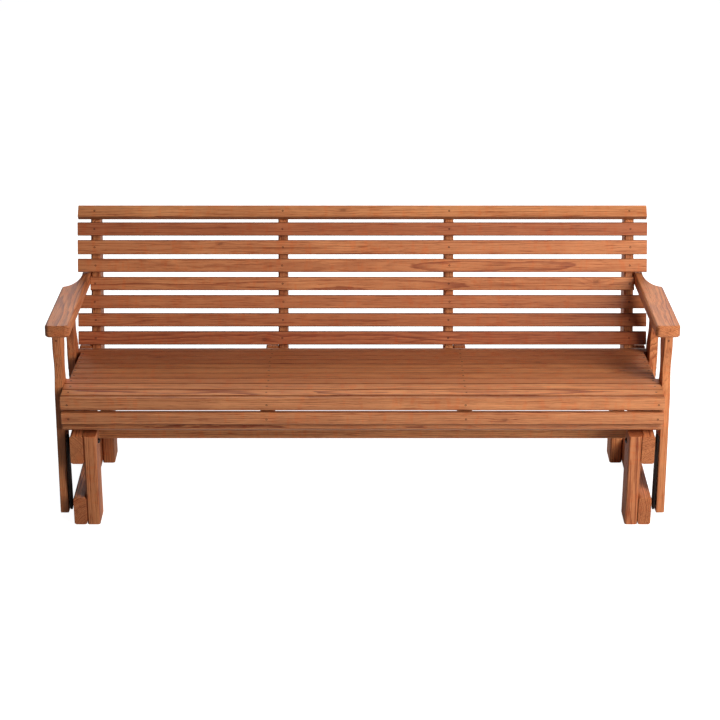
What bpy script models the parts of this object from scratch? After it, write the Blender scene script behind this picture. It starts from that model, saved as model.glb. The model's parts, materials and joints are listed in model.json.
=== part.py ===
"""Roll-back glider bench: a slatted timber seat that hangs in a low base frame on four steel links.

Metres, +Z up, front of the bench towards -Y. Left and right are as seen from the front.
Side-view outlines are lists of (y, z) points measured from the front of the base legs and the floor.
"""

import math

import bmesh
import bpy
from mathutils import Matrix, Vector

# Timber
TIMBER_THICK = 0.0381
TIMBER_WIDE = 0.0889
UPRIGHT_THICK = 0.0286
POST_THICK = 0.0254
SLAT_THICK = 0.0200
SLAT_LENGTH = 1.7476
EASE = 0.0045
SLAT_EASE = 0.0022
FIT = 0.0003

# Base frame
BASE_DEPTH = 0.4968
BASE_HEIGHT = 0.2896
SWING_GAP = 0.0196
STRETCHER_SETBACK = 0.1669
STRETCHER_WIDE = 0.0635

# Links
LINK_WIDTH = 0.0380
LINK_THICK = 0.0051
LINK_SPACER = 0.0095
PIVOT_INSET = 0.0533
PIVOT_HEIGHT = 0.0445
PIVOT_BELOW_TOP = 0.0381

# Seat
SUPPORT_LIFT = 0.0101
NOSE_Y = 0.0085
SUPPORT_FRONT_DEPTH = 0.0988
NOSE_LEAN = 5.0
NOSE_TUCK = 60.0
NOSE_GAP = 0.0079
NOSE_OVERLAP = 0.0202
SEAT_SLATS = 10
SEAT_SLAT_WIDTH = 0.0400
SEAT_SLAT_GAP = 0.0028
SEAT_FALL_FRONT = 0.5
SEAT_FALL_REAR = 7.3
SEAT_CROWN_SLATS = 6
SHORT_SLATS = range(3, 9)
SHORT_SLAT_INSET = 0.0115
SEAT_HEEL_GAP = 0.0036
SEAT_HEEL_RISE = 0.0262
SEAT_HEEL_LENGTH = 0.0200
SEAT_TAIL = 0.0850
SEAT_TAIL_ROUND = 0.0300
MID_SUPPORT_LEFT = 0.2591
MID_SUPPORT_RIGHT = 0.2807

# Back
BACK_LEAN = 20.0
BACK_CLEARANCE = 0.0012
BACK_FIRST_RISE = 0.0508
BACK_SLATS = 8
BACK_SLAT_WIDTH = 0.0413
BACK_WIDE_SLAT_WIDTH = 0.0445
BACK_PITCH = 0.0558
ROLL_LEAN = 50.0
ROLL_RISE = 0.0074
UPRIGHT_FOOT_DEPTH = 0.1016
UPRIGHT_TOP_DEPTH = 0.0700

# Arms and their posts
ARM_THICK = 0.0349
ARM_WIDTH = 0.0698
ARM_TAIL_WIDTH = 0.0262
ARM_FRONT_Y = -0.0102
ARM_HOLLOW = 0.1345
ARM_TAIL_AHEAD = 0.0298
ARM_TAIL_BEHIND = 0.0187
ARM_FRONT_RISE = 0.2449
ARM_FALL = 4.75
ARM_CORNER = 0.0140
POST_WIDTH = 0.0810
POST_SCOOP_DEPTH = 0.0165
POST_SCOOP_LENGTH = 0.1580
POST_SCOOP_RISE = 0.0635
FRONT_POST_OFFSET = 0.0220
FRONT_POST_LEAN = 4.4
REAR_POST_OFFSET = 0.0120
REAR_POST_LEAN = -9.84
POST_CLEARANCE = 0.0175

# Fasteners
PIVOT_RADIUS = 0.0048
PIVOT_HEAD_RADIUS = 0.0082
PIVOT_HEAD_THICK = 0.0045
SPACER_RADIUS = 0.0085
NUT_THICK = 0.0060
THIN_NUT_THICK = 0.0030
NUT_RECESS = 0.0075
NUT_RECESS_RADIUS = 0.0105
ARM_BOLT_RADIUS = 0.0040
ARM_BOLT_HEAD_RADIUS = 0.0085
ARM_BOLT_HEAD_THICK = 0.0035
ARM_BOLT_END_COVER = 0.0050
ARM_BOLT_INSET = 0.0260

# Planes that neighbours share, counted outwards from the middle of the bench
SLAT_END = SLAT_LENGTH / 2
POST_INNER = SLAT_END + FIT
POST_OUTER = POST_INNER + POST_THICK
END_SUPPORT_INNER = SLAT_END - TIMBER_THICK
END_UPRIGHT_OUTER = END_SUPPORT_INNER - FIT
END_UPRIGHT_INNER = END_UPRIGHT_OUTER - UPRIGHT_THICK
ARM_INNER = END_UPRIGHT_OUTER + FIT
RAIL_OUTER = POST_INNER - SWING_GAP
RAIL_INNER = RAIL_OUTER - TIMBER_THICK
LEG_OUTER = RAIL_INNER - FIT
LEG_INNER = LEG_OUTER - TIMBER_THICK
LINK_INNER = RAIL_OUTER + LINK_SPACER + 2 * FIT
LINK_OUTER = LINK_INNER + LINK_THICK
SUPPORT_BOTTOM = BASE_HEIGHT + SUPPORT_LIFT
NOSE_Z = SUPPORT_BOTTOM + SUPPORT_FRONT_DEPTH
ARM_FRONT_Z = NOSE_Z + ARM_FRONT_RISE
POST_SCOOP_Z = NOSE_Z + POST_SCOOP_RISE
UPPER_PIVOT_Z = BASE_HEIGHT - PIVOT_BELOW_TOP
FRONT_PIVOT_Y = PIVOT_INSET
REAR_PIVOT_Y = BASE_DEPTH - PIVOT_INSET
SEAT_PITCH = SEAT_SLAT_WIDTH + SEAT_SLAT_GAP
REAR_LEG_Y = BASE_DEPTH - TIMBER_WIDE
BOLT_SIDES = 12

SIDES = (("left", -1), ("right", 1))
POSTS = (
    ("front", FRONT_PIVOT_Y + FRONT_POST_OFFSET, FRONT_POST_LEAN),
    ("rear", REAR_PIVOT_Y + REAR_POST_OFFSET, REAR_POST_LEAN),
)

STAINED = (0.45, 0.19, 0.09)
BLACK_STEEL = (0.015, 0.015, 0.016)


def clear_scene():
    for item in list(bpy.data.objects):
        bpy.data.objects.remove(item)


def finish(name, color, roughness, metallic):
    surface = bpy.data.materials.new(name)
    surface.use_nodes = True
    shader = surface.node_tree.nodes["Principled BSDF"]
    shader.inputs["Base Color"].default_value = (*color, 1)
    shader.inputs["Roughness"].default_value = roughness
    shader.inputs["Metallic"].default_value = metallic
    return surface


def heading(degrees):
    """Unit vector in side view: 0 points to the rear, 90 points up."""
    angle = math.radians(degrees)
    return Vector((math.cos(angle), math.sin(angle)))


def outward(degrees):
    """Normal on the outer side of an edge that runs along heading(degrees)."""
    return heading(degrees + 90)


def crossing(point, degrees, other, other_degrees):
    """Where two side-view lines meet."""
    along = heading(degrees)
    normal = outward(other_degrees)
    return point + along * ((other - point).dot(normal) / along.dot(normal))


def empty(name, parent, y, z):
    """An empty at (0, y, z) of the side view, which carries one moving body."""
    mark = bpy.data.objects.new(name, None)
    bpy.context.scene.collection.objects.link(mark)
    mark["place"] = (0.0, y, z)
    mark.parent = parent
    home = Vector(parent["place"]) if parent else Vector()
    mark.location = Vector(mark["place"]) - home
    return mark


def link_mesh(name, shape, parent, surface):
    """An object whose mesh, given in bench coordinates, is moved to its parent's origin."""
    bmesh.ops.recalc_face_normals(shape, faces=shape.faces)
    bmesh.ops.translate(shape, verts=shape.verts, vec=-Vector(parent["place"]))
    mesh = bpy.data.meshes.new(name)
    shape.to_mesh(mesh)
    shape.free()
    piece = bpy.data.objects.new(name, mesh)
    bpy.context.scene.collection.objects.link(piece)
    piece.parent = parent
    if surface:
        mesh.materials.append(surface)
        mesh.shade_smooth()
        mesh.set_sharp_from_angle(angle=math.radians(31))
    return piece


def ease_edges(piece, width=EASE):
    """Takes the sharp arrises off a board."""
    bevel = piece.modifiers.new("eased edges", "BEVEL")
    bevel.width = width
    bevel.segments = 1
    bevel.limit_method = "ANGLE"
    bevel.angle_limit = math.radians(50)
    return bevel


def ease_long_edges(piece, axis, width=EASE):
    """Takes the arrises off along a straight board, whose ends are cut square afterwards."""
    weights = piece.data.attributes.new("bevel_weight_edge", "FLOAT", "EDGE")
    for edge in piece.data.edges:
        start, end = (piece.data.vertices[index].co for index in edge.vertices)
        weights.data[edge.index].value = float(abs((end - start).normalized()[axis]) > 0.9)
    ease_edges(piece, width).limit_method = "WEIGHT"


def cut_board(name, outline, low, high, parent, surface, ease=EASE):
    """A board sawn to a side-view outline, between two planes across the bench."""
    shape = bmesh.new()
    corners = [shape.verts.new((low, y, z)) for y, z in outline]
    face = shape.faces.new(corners)
    moved = bmesh.ops.extrude_face_region(shape, geom=[face])["geom"]
    raised = [item for item in moved if isinstance(item, bmesh.types.BMVert)]
    bmesh.ops.translate(shape, verts=raised, vec=(high - low, 0, 0))
    piece = link_mesh(name, shape, parent, surface)
    if ease:
        ease_edges(piece, ease)
    return piece


def slat(name, face_centre, degrees, width, length, parent, surface, ease=SLAT_EASE):
    """A slat whose inner face lies FIT off a point on its supports' edge, and runs along degrees."""
    centre = face_centre + outward(degrees) * (FIT + SLAT_THICK / 2)
    shape = bmesh.new()
    size = Matrix.Diagonal((length, width, SLAT_THICK, 1))
    bmesh.ops.create_cube(shape, size=1, matrix=size)
    piece = link_mesh(name, shape, parent, surface)
    home = Vector(parent["place"])
    piece.data.transform(Matrix.Translation(home))
    piece.location = Vector((0, centre.x, centre.y)) - home
    piece.rotation_euler = (math.radians(degrees), 0, 0)
    ease_long_edges(piece, 0, ease)
    return piece


def box_board(name, low, high, parent, surface):
    """A straight board between two corners."""
    outline = [(low[1], low[2]), (high[1], low[2]), (high[1], high[2]), (low[1], high[2])]
    piece = cut_board(name, outline, low[0], high[0], parent, surface, 0)
    sizes = [end - start for start, end in zip(low, high)]
    ease_long_edges(piece, sizes.index(max(sizes)))
    return piece


def turned(name, start, side, profile, parent, surface):
    """A turned body that lies across the bench. The profile gives (distance outwards, radius)."""
    shape = bmesh.new()
    loops = []
    for distance, radius in profile:
        x, y, z = start[0] + side * distance, start[1], start[2]
        loop = []
        for index in range(BOLT_SIDES):
            angle = 2 * math.pi * (index + 0.5) / BOLT_SIDES
            spot = (x, y + radius * math.cos(angle), z + radius * math.sin(angle))
            loop.append(shape.verts.new(spot))
        loops.append(loop)
    for lower, upper in zip(loops, loops[1:]):
        for index in range(BOLT_SIDES):
            after = (index + 1) % BOLT_SIDES
            shape.faces.new((lower[index], lower[after], upper[after], upper[index]))
    shape.faces.new(loops[0])
    shape.faces.new(loops[-1])
    return link_mesh(name, shape, parent, surface)


def hole(name, start, side, depth, radius, parent, recess=None):
    """A cutter for the hole that a bolt runs in, with a recess (start, radius) for its nut."""
    profile = [(-FIT * 3, radius + FIT), (depth + FIT, radius + FIT)]
    if recess:
        profile[1:] = [(recess[0], radius + FIT), recess, (depth + NUT_RECESS, recess[1])]
    piece = turned(name, start, side, profile, parent, None)
    piece.hide_render = True
    piece.display_type = "WIRE"
    return piece


def drill(pieces, tool):
    for piece in pieces:
        cut = piece.modifiers.new(tool.name, "BOOLEAN")
        cut.operation = "DIFFERENCE"
        cut.solver = "EXACT"
        cut.object = tool


def seat_line():
    """Points along the supports' edge from under the nose to the rear, with the heading of each run."""
    corner = Vector((NOSE_Y, NOSE_Z))
    upright = 90 + NOSE_LEAN
    tucked = 90 + NOSE_TUCK
    face = 2 * SEAT_SLAT_WIDTH + NOSE_GAP - NOSE_OVERLAP + SEAT_SLAT_GAP / 2
    chin = corner - heading(upright) * face
    throat = chin - heading(tucked) * SEAT_PITCH
    runs = [(throat, tucked), (chin, upright)]
    point = corner
    for index in range(SEAT_SLATS):
        share = min(1.0, index / SEAT_CROWN_SLATS)
        fall = SEAT_FALL_FRONT + (SEAT_FALL_REAR - SEAT_FALL_FRONT) * share
        runs.append((point, -fall))
        point = point + heading(-fall) * SEAT_PITCH
    runs.append((point, -SEAT_FALL_REAR))
    return runs


def seat_slat_places():
    """(middle of the inner face, heading) of each seat slat, from under the nose to the rear."""
    runs = seat_line()
    throat, tucked = runs[0]
    corner, upright = runs[2][0], runs[1][1]
    places = [(throat + heading(tucked) * SEAT_PITCH / 2, tucked)]
    top = corner + heading(upright) * NOSE_OVERLAP
    drop = SEAT_SLAT_WIDTH + NOSE_GAP
    for index in (1, 0):
        places.append((top - heading(upright) * (SEAT_SLAT_WIDTH / 2 + index * drop), upright))
    for point, degrees in runs[2:-1]:
        places.append((point + heading(degrees) * SEAT_PITCH / 2, degrees))
    return places


def back_foot():
    """Point on the uprights' front edge, just behind the last seat slat."""
    last, degrees = seat_slat_places()[-1]
    edge = last + heading(degrees) * SEAT_SLAT_WIDTH / 2
    return edge + Vector((BACK_CLEARANCE, 0))


def back_slat_places():
    """(middle of the inner face, heading, width) of each back slat, from the lowest up."""
    rise = 90 - BACK_LEAN
    places = []
    for index in range(BACK_SLATS - 1):
        wide = index == BACK_SLATS - 3
        width = BACK_WIDE_SLAT_WIDTH if wide else BACK_SLAT_WIDTH
        middle = back_foot() + heading(rise) * (BACK_FIRST_RISE + index * BACK_PITCH)
        places.append((middle, rise, width))
    roll = 90 - ROLL_LEAN
    shoulder = places[-1][0] + heading(rise) * BACK_SLAT_WIDTH / 2
    start = shoulder + heading((rise + roll) / 2) * ROLL_RISE
    places.append((start + heading(roll) * BACK_SLAT_WIDTH / 2, roll, BACK_SLAT_WIDTH))
    return places


def arc(centre, radii, first, last, steps):
    """Points on an ellipse's arc, from the first angle to the last."""
    points = []
    for index in range(steps + 1):
        angle = math.radians(first + (last - first) * index / steps)
        points.append((centre[0] + radii[0] * math.cos(angle), centre[1] + radii[1] * math.sin(angle)))
    return points


def rounded(start, corner, end, steps):
    """Points on a smooth curve from start to end that leaves and arrives along the lines to corner."""
    points = []
    for index in range(steps + 1):
        share = index / steps
        near, far = start.lerp(corner, share), corner.lerp(end, share)
        points.append(near.lerp(far, share))
    return points


def support_outline():
    """Contoured seat support: slat facets on top, flat underside, heel behind the slats, rounded tail."""
    runs = seat_line()
    points = [tuple(point) for point, _ in runs]
    last, fall = runs[-1]
    step = last + heading(fall) * SEAT_HEEL_GAP
    heel = step + outward(fall) * SEAT_HEEL_RISE
    tail = last + heading(fall) * SEAT_TAIL
    points[-1] = tuple(step)
    points += [tuple(heel), tuple(heel + heading(fall) * SEAT_HEEL_LENGTH)]
    end = tail.x + SEAT_TAIL_ROUND
    middle = (tail.x, tail.y - SEAT_TAIL_ROUND)
    points += arc(middle, (SEAT_TAIL_ROUND, SEAT_TAIL_ROUND), 72, 0, 4)
    points.append((end, SUPPORT_BOTTOM))
    points.append((points[0][0] + SEAT_PITCH / 2, SUPPORT_BOTTOM))
    return points


def upright_outline():
    """Back upright: straight front edge, rolled top, tapered rear edge."""
    rise = 90 - BACK_LEAN
    foot = crossing(back_foot(), rise, Vector((0, SUPPORT_BOTTOM)), 0)
    places = back_slat_places()
    shoulder = places[-2][0] + heading(rise) * (BACK_SLAT_WIDTH / 2 + ROLL_RISE / 4)
    roll = places[-1][1]
    crest_start = places[-1][0] - heading(roll) * BACK_SLAT_WIDTH / 2
    crest_end = places[-1][0] + heading(roll) * BACK_SLAT_WIDTH / 2
    across = heading(rise - 90)
    rear_foot = foot + Vector((UPRIGHT_FOOT_DEPTH / math.cos(math.radians(BACK_LEAN)), 0))
    rear_top = shoulder + across * UPRIGHT_TOP_DEPTH
    rear_edge = math.degrees(math.atan2(rear_top.y - rear_foot.y, rear_top.x - rear_foot.x))
    corner = crossing(rear_top, rear_edge, crest_end, rise - 90)
    points = [rear_foot, *rounded(rear_top, corner, crest_end, 5), crest_start, shoulder, foot]
    return [tuple(point) for point in points]


def arm_top(y):
    """Height of the arm's top face at y."""
    return ARM_FRONT_Z - (y - ARM_FRONT_Y) * math.tan(math.radians(ARM_FALL))


def arm_side_line():
    """Point and heading of the arm's underside."""
    thick = ARM_THICK / math.cos(math.radians(ARM_FALL))
    return Vector((0, arm_top(0) - thick)), -ARM_FALL


def arm_bolt_place():
    """Where the arm's tail is bolted to the end upright."""
    line, slope = arm_side_line()
    middle = line + outward(slope) * ARM_THICK / 2
    return crossing(back_foot(), 90 - BACK_LEAN, middle, slope) + Vector((ARM_BOLT_INSET, 0))


def meets_arms(middle, degrees, width):
    """Whether a back slat lies at the height of the arms' tails, so that it stops between them."""
    line, slope = arm_side_line()
    centre = middle + outward(degrees) * (FIT + SLAT_THICK / 2)
    turn = math.radians(degrees - slope)
    reach = abs(math.sin(turn)) * width / 2 + abs(math.cos(turn)) * SLAT_THICK / 2 - SLAT_EASE
    height = (centre - line).dot(outward(slope))
    return -reach < height < ARM_THICK + reach


def post_outline(foot_y, lean):
    """Post with a scooped waist, cut square at the foot and to the arm's slope at the top."""
    up = 90 - lean
    foot = Vector((foot_y, POST_CLEARANCE))
    half = POST_WIDTH / 2
    arm_point, arm_degrees = arm_side_line()
    limit = arm_point - Vector((0, FIT))
    middle = (POST_SCOOP_Z - POST_CLEARANCE) / heading(up).y
    steps = 8
    edges = []
    for side in (-1, 1):
        across = heading(up - 90) * side
        edge = [foot + across * half]
        for index in range(steps + 1):
            share = index / steps
            scoop = POST_SCOOP_DEPTH * math.sin(math.pi * share) ** 2
            along = middle + POST_SCOOP_LENGTH * (share - 0.5)
            edge.append(foot + heading(up) * along + across * (half - scoop))
        edge.append(crossing(foot + across * half, up, limit, arm_degrees))
        edges.append(edge)
    front, rear = edges
    return [tuple(point) for point in rear + front[::-1]]


def plan_outline(side):
    """Arm seen from above: rounded front, straight sides, hollow shoulder, narrow tail."""
    inner, outer = ARM_INNER, ARM_INNER + ARM_WIDTH
    bolt_y = arm_bolt_place().x
    tail_start, tail_end = bolt_y - ARM_TAIL_AHEAD, bolt_y + ARM_TAIL_BEHIND
    round_y = ARM_FRONT_Y + ARM_CORNER
    corner = (ARM_CORNER, ARM_CORNER)
    points = arc((inner + ARM_CORNER, round_y), corner, 180, 270, 4)
    points += arc((outer - ARM_CORNER, round_y), corner, 270, 360, 4)
    points += arc((outer, tail_start), (ARM_WIDTH - ARM_TAIL_WIDTH, ARM_HOLLOW), 270, 180, 7)
    points += [(inner + ARM_TAIL_WIDTH, tail_end), (inner, tail_end)]
    return [(x * side, y) for x, y in points]


def arm(name, side, parent, surface):
    """Arm board, sloping down to the rear."""
    shape = bmesh.new()
    down = outward(-ARM_FALL) * -ARM_THICK
    corners = [shape.verts.new((x, y, arm_top(y))) for x, y in plan_outline(side)]
    face = shape.faces.new(corners)
    moved = bmesh.ops.extrude_face_region(shape, geom=[face])["geom"]
    lowered = [item for item in moved if isinstance(item, bmesh.types.BMVert)]
    bmesh.ops.translate(shape, verts=lowered, vec=(0, down.x, down.y))
    piece = link_mesh(name, shape, parent, surface)
    ease_edges(piece)
    return piece


def link_bar(name, side, pivot_y, parent, surface):
    """Flat steel link with round ends, which hangs from the upper pivot."""
    radius = LINK_WIDTH / 2
    outline = arc((pivot_y, UPPER_PIVOT_Z), (radius, radius), 0, 180, 8)
    outline += arc((pivot_y, PIVOT_HEIGHT), (radius, radius), 180, 360, 8)
    low, high = sorted((side * LINK_INNER, side * LINK_OUTER))
    return cut_board(name, outline, low, high, parent, surface, 0)


def pivot_profile(thread_start, collar, nut):
    """Head, shank, spacer collar and lock nut of a pivot bolt. Collar and nut are (start, end)."""
    return [
        (thread_start - PIVOT_HEAD_THICK, PIVOT_HEAD_RADIUS * 0.6),
        (thread_start - PIVOT_HEAD_THICK / 2, PIVOT_HEAD_RADIUS),
        (thread_start, PIVOT_HEAD_RADIUS),
        (thread_start, PIVOT_RADIUS),
        (collar[0], PIVOT_RADIUS),
        (collar[0], SPACER_RADIUS),
        (collar[1], SPACER_RADIUS),
        (collar[1], PIVOT_RADIUS),
        (nut[0], PIVOT_RADIUS),
        (nut[0], SPACER_RADIUS),
        (nut[1], SPACER_RADIUS),
    ]


def base_frame(root, wood):
    """Two pairs of legs, each with an upper and a lower rail outside them, and two stretchers."""
    bored = {}
    for side_name, side in SIDES:
        low, high = sorted((side * LEG_INNER, side * LEG_OUTER))
        for end, y in (("front", 0), ("rear", REAR_LEG_Y)):
            corner = (high, y + TIMBER_WIDE, BASE_HEIGHT)
            leg = box_board(f"base_leg_{end}_{side_name}", (low, y, 0), corner, root, wood)
            bored[end, side_name] = [leg]
        low, high = sorted((side * RAIL_INNER, side * RAIL_OUTER))
        top = (high, BASE_DEPTH, BASE_HEIGHT)
        under = (low, 0, BASE_HEIGHT - TIMBER_WIDE)
        rail = box_board(f"base_top_rail_{side_name}", under, top, root, wood)
        for end in ("front", "rear"):
            bored[end, side_name].append(rail)
        top = (high, BASE_DEPTH, TIMBER_WIDE)
        box_board(f"base_bottom_rail_{side_name}", (low, 0, 0), top, root, wood)
    reach = RAIL_INNER - FIT
    for end, y in (("front", STRETCHER_SETBACK), ("rear", REAR_LEG_Y - FIT - TIMBER_THICK)):
        low = (-reach, y, BASE_HEIGHT - TIMBER_WIDE)
        high = (reach, y + TIMBER_THICK, low[2] + STRETCHER_WIDE)
        box_board(f"base_stretcher_{end}", low, high, root, wood)
    return bored


def seat_frame(seat, wood, steel):
    """Contoured supports, an upright beside each, and outside them the posts and arms."""
    pairs = (
        ("end_left", -SLAT_END, -1),
        ("middle_left", -MID_SUPPORT_LEFT - TIMBER_THICK, -1),
        ("middle_right", MID_SUPPORT_RIGHT + TIMBER_THICK, 1),
        ("end_right", SLAT_END, 1),
    )
    uprights = {}
    for place, outer, side in pairs:
        inner = outer - side * TIMBER_THICK
        low, high = sorted((outer, inner))
        cut_board(f"seat_support_{place}", support_outline(), low, high, seat, wood)
        low, high = sorted((inner - side * FIT, inner - side * (FIT + UPRIGHT_THICK)))
        uprights[place] = cut_board(f"back_upright_{place}", upright_outline(), low, high, seat, wood)
    bolt = arm_bolt_place()
    reach = ARM_TAIL_WIDTH + UPRIGHT_THICK - ARM_BOLT_END_COVER
    posts = {}
    for side_name, side in SIDES:
        low, high = sorted((side * POST_INNER, side * POST_OUTER))
        for end, foot, lean in POSTS:
            name = f"arm_post_{end}_{side_name}"
            outline = post_outline(foot, lean)
            posts[end, side_name] = cut_board(name, outline, low, high, seat, wood, EASE / 2)
        board = arm(f"arm_{side_name}", side, seat, wood)
        start = (side * (ARM_INNER + ARM_TAIL_WIDTH), bolt.x, bolt.y)
        profile = [
            (-ARM_BOLT_HEAD_THICK - FIT, ARM_BOLT_HEAD_RADIUS * 0.6),
            (-ARM_BOLT_HEAD_THICK * 0.4 - FIT, ARM_BOLT_HEAD_RADIUS),
            (-FIT, ARM_BOLT_HEAD_RADIUS),
            (-FIT, ARM_BOLT_RADIUS),
            (reach, ARM_BOLT_RADIUS),
        ]
        turned(f"arm_bolt_{side_name}", start, -side, profile, seat, steel)
        bored = [board, uprights[f"end_{side_name}"]]
        drill(bored, hole(f"arm_bolt_hole_{side_name}", start, -side, reach, ARM_BOLT_RADIUS, seat))
    return posts


def slats(seat, wood):
    """Seat slats from under the nose to the rear, then back slats from the lowest up."""
    places = seat_slat_places()
    for number, (middle, degrees) in zip((3, 2, 1), places):
        name = f"nose_slat_{number}"
        slat(name, middle, degrees, SEAT_SLAT_WIDTH, SLAT_LENGTH, seat, wood, EASE)
    for index, (middle, degrees) in enumerate(places[3:]):
        length = SLAT_LENGTH - (2 * SHORT_SLAT_INSET if index in SHORT_SLATS else 0)
        slat(f"seat_slat_{index + 1}", middle, degrees, SEAT_SLAT_WIDTH, length, seat, wood)
    for index, (middle, degrees, width) in enumerate(back_slat_places()):
        length = 2 * END_UPRIGHT_OUTER if meets_arms(middle, degrees, width) else SLAT_LENGTH
        slat(f"back_slat_{index + 1}", middle, degrees, width, length, seat, wood)


def hangers(root, seat, bored, posts, steel, bolt_steel):
    """The four links and the bolts that they turn on."""
    collar = RAIL_OUTER + FIT - LEG_INNER
    nut = LINK_OUTER + FIT - LEG_INNER
    upper = pivot_profile(-FIT, (collar, collar + LINK_SPACER), (nut, nut + THIN_NUT_THICK))
    collar = LINK_THICK + FIT
    recess = POST_OUTER - NUT_RECESS - LINK_INNER
    nut = recess + FIT
    lower = pivot_profile(-FIT, (collar, POST_INNER - FIT - LINK_INNER), (nut, nut + NUT_THICK))
    for side_name, side in SIDES:
        for end, y in (("front", FRONT_PIVOT_Y), ("rear", REAR_PIVOT_Y)):
            place = f"{end}_{side_name}"
            carrier = empty(f"link_pivot_{place}", root, y, UPPER_PIVOT_Z)
            link = link_bar(f"link_{place}", side, y, carrier, steel)
            start = (side * LEG_INNER, y, UPPER_PIVOT_Z)
            turned(f"upper_pivot_bolt_{place}", start, side, upper, root, bolt_steel)
            cut = hole(f"upper_pivot_hole_{place}", start, side, upper[-1][0], PIVOT_RADIUS, root)
            drill([*bored[end, side_name], link], cut)
            start = (side * LINK_INNER, y, PIVOT_HEIGHT)
            turned(f"lower_pivot_bolt_{place}", start, side, lower, seat, bolt_steel)
            widened = (recess, NUT_RECESS_RADIUS)
            cut = hole(f"lower_pivot_hole_{place}", start, side, nut + NUT_THICK, PIVOT_RADIUS, seat, widened)
            drill([posts[end, side_name], link], cut)


def build():
    clear_scene()
    wood = finish("stained_pine", STAINED, 0.55, 0.0)
    steel = finish("hanger_steel", BLACK_STEEL, 0.35, 1.0)
    bolt_steel = finish("bolt_steel", BLACK_STEEL, 0.25, 1.0)
    root = empty("bench", None, 0, 0)
    seat = empty("seat_frame", root, FRONT_PIVOT_Y, PIVOT_HEIGHT)
    bored = base_frame(root, wood)
    posts = seat_frame(seat, wood, bolt_steel)
    slats(seat, wood)
    hangers(root, seat, bored, posts, steel, bolt_steel)
    centre_bench(root)


def centre_bench(root):
    """Moves the bench so that the middle of its footprint is the origin."""
    bpy.context.view_layer.update()
    finished = bpy.context.evaluated_depsgraph_get()
    depths = []
    for piece in bpy.data.objects:
        if piece.type == "MESH" and not piece.hide_render:
            shape = piece.evaluated_get(finished)
            depths += [(piece.matrix_world @ corner.co).y for corner in shape.data.vertices]
    root.location.y -= (min(depths) + max(depths)) / 2


build()
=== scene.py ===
import json
import math
import random

import bmesh
import bpy
from mathutils import Matrix, Vector

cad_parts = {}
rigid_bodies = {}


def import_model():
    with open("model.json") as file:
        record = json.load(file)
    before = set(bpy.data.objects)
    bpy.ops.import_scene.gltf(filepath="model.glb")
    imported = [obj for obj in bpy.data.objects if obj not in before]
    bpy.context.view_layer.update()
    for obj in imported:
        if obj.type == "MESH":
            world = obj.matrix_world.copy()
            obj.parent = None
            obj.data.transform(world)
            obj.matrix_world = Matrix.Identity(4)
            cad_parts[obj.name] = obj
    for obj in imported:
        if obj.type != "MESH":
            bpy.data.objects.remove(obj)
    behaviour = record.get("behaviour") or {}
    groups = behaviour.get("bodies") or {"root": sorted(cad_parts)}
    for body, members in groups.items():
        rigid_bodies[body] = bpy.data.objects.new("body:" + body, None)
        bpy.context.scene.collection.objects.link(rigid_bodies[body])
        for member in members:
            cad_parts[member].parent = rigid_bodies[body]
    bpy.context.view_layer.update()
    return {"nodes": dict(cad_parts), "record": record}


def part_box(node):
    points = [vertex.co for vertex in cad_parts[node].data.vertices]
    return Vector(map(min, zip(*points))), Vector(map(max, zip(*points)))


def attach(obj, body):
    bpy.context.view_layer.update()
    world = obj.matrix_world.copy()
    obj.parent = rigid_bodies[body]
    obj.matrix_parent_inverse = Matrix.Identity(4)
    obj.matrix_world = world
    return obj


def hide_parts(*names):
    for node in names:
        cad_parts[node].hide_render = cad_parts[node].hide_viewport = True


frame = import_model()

nodes = frame["nodes"]
bodyOf = {}
for body, held in frame["record"]["behaviour"]["bodies"].items():
    for nodeName in held:
        bodyOf[nodeName] = body
benchCorners = ("front_left", "front_right", "rear_left", "rear_right")
benchSides = (("left", -1), ("right", 1))  # a side's name, and its direction along x
print("frame loaded:", len(nodes), "nodes")


def linear(red, green, blue):
    # a colour given as it looks on screen, 0 to 255
    steps = [value / 255 for value in (red, green, blue)]
    return (*[s / 12.92 if s <= 0.04045 else ((s + 0.055) / 1.055) ** 2.4 for s in steps], 1)


def camelName(nodeName):
    first, *rest = nodeName.split("_")
    return first + "".join(word.capitalize() for word in rest)


def clearSelection():
    bpy.ops.object.select_all(action="DESELECT")


def applyPlace(piece):
    clearSelection()
    piece.select_set(True)
    bpy.context.view_layer.objects.active = piece
    bpy.ops.object.transform_apply(location=True, rotation=True, scale=True)


def joinPieces(pieces, name):
    clearSelection()
    for piece in pieces:
        piece.select_set(True)
    bpy.context.view_layer.objects.active = pieces[0]
    bpy.ops.object.join()
    joined = bpy.context.active_object
    joined.name = name
    applyPlace(joined)
    return joined


def copyNode(nodeName):
    piece = bpy.data.objects.new(camelName(nodeName), nodes[nodeName].data.copy())
    bpy.context.scene.collection.objects.link(piece)
    piece.matrix_world = nodes[nodeName].matrix_world.copy()
    applyPlace(piece)
    return piece


def mergeTriangles():
    # a copied node is loose triangles: join them and make its flat faces whole
    bpy.ops.object.mode_set(mode="EDIT")
    bpy.ops.mesh.select_all(action="SELECT")
    bpy.ops.mesh.remove_doubles(threshold=0.00002)
    bpy.ops.mesh.dissolve_limited(angle_limit=math.radians(1.0))


def roundEdges(piece, width, segments, sharpFrom):
    # rounds the edges that turn by more than sharpFrom degrees
    rounding = piece.modifiers.new("rounded edges", "BEVEL")
    rounding.width = width
    rounding.segments = segments
    rounding.limit_method = "ANGLE"
    rounding.angle_limit = math.radians(sharpFrom)
    bpy.ops.object.modifier_apply(modifier=rounding.name)


def smoothBelow(degrees):
    bpy.ops.object.shade_smooth_by_angle(angle=math.radians(degrees))


def dress(piece, body, material):
    piece.data.materials.clear()
    piece.data.materials.append(material)
    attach(piece, body)


def setInput(tree, socket, value):
    if isinstance(value, bpy.types.NodeSocket):
        tree.links.new(value, socket)
    else:
        socket.default_value = value


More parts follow.
